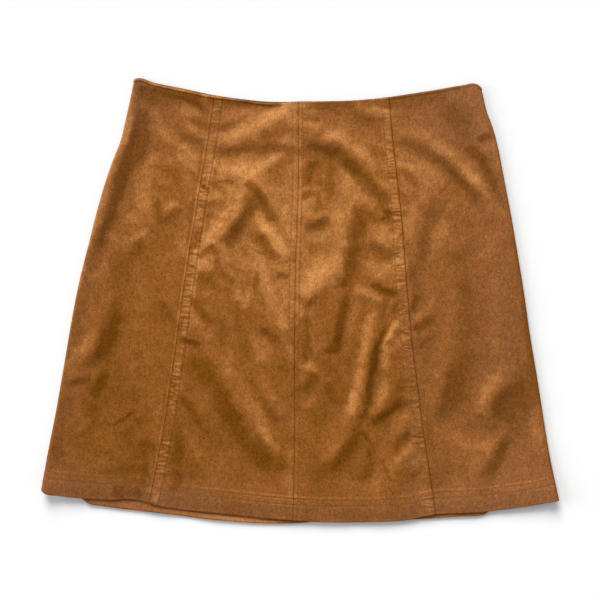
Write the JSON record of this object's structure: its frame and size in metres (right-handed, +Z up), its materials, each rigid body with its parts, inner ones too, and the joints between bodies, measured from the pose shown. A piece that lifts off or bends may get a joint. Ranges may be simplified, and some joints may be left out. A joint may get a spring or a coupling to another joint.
{
  "type": "a-line skirt",
  "caption": "A-line skirt laid flat, front side up, with princess and centre front seams and a turned-up hem.",
  "frame": {"origin": "on the surface that the skirt lies on, under the middle of its outline", "axes": "+X to the right of the laid skirt seen from above, +Y from the hem towards the waist, +Z up from the surface, out of the front of the cloth"},
  "size_m": [0.5416, 0.4667, 0.0097],
  "materials": {
    "suede_cloth": "soft brushed suede cloth with a short nap, tan",
    "thread": "matte sewing thread, a shade lighter than the cloth"
  },
  "bodies": {
    "root": {"front_side_left": "suede_cloth", "front_centre_left": "suede_cloth", "front_centre_right": "suede_cloth", "front_side_right": "suede_cloth", "back": "suede_cloth"}
  },
  "joints": []
}
